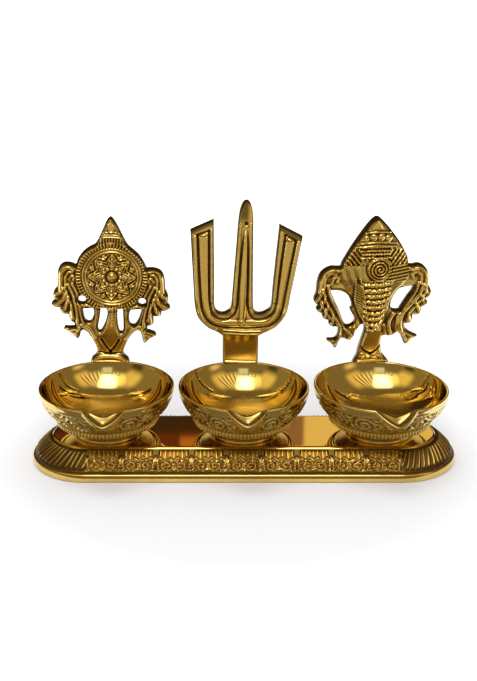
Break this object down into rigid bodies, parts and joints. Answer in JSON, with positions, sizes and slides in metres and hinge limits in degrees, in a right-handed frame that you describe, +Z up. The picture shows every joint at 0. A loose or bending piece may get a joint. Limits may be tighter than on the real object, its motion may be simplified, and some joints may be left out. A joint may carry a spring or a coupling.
{
  "type": "brass oil lamp set",
  "caption": "Oblong moulded brass stand with a row of round lipped oil lamps, each swivelling on a screw and carrying an upright cast emblem plate behind its rim.",
  "frame": {"origin": "on the table under the middle of the overall box", "axes": "+X to the viewer's right along the stand, +Y to the back where the plates stand, +Z up"},
  "size_m": [0.231, 0.0858, 0.1354],
  "materials": {
    "stand_brass": "polished, darker in the cast relief",
    "bowl_brass": "mirror polished inside, cast relief outside",
    "plate_brass": "cast relief, dark in its grooves and on its edges",
    "screw_brass": "turned",
    "washer_brass": "pressed"
  },
  "bodies": {
    "stand": {"stand": "stand_brass"},
    "left_lamp": {"left_bowl": "bowl_brass", "wheel_plate": "plate_brass", "left_tab_screw_a": "screw_brass", "left_tab_screw_b": "screw_brass", "left_foot_washer": "washer_brass", "left_foot_screw": "screw_brass"},
    "centre_lamp": {"centre_bowl": "bowl_brass", "prong_plate": "plate_brass", "centre_tab_screw_a": "screw_brass", "centre_tab_screw_b": "screw_brass", "centre_foot_washer": "washer_brass", "centre_foot_screw": "screw_brass"},
    "right_lamp": {"right_bowl": "bowl_brass", "conch_plate": "plate_brass", "right_tab_screw_a": "screw_brass", "right_tab_screw_b": "screw_brass", "right_foot_washer": "washer_brass", "right_foot_screw": "screw_brass"}
  },
  "joints": [
    {"name": "left_swivel", "type": "hinge", "parent": "stand", "child": "left_lamp", "pos_m": [-0.0738, 0.00058, 0.0157], "axis": [0, 0, 1], "range_deg": [-10, 30]},
    {"name": "centre_swivel", "type": "hinge", "parent": "stand", "child": "centre_lamp", "pos_m": [0, 0.00058, 0.0157], "axis": [0, 0, 1], "range_deg": [-8, 8]},
    {"name": "right_swivel", "type": "hinge", "parent": "stand", "child": "right_lamp", "pos_m": [0.0738, 0.00058, 0.0157], "axis": [0, 0, 1], "range_deg": [-30, 8]}
  ]
}
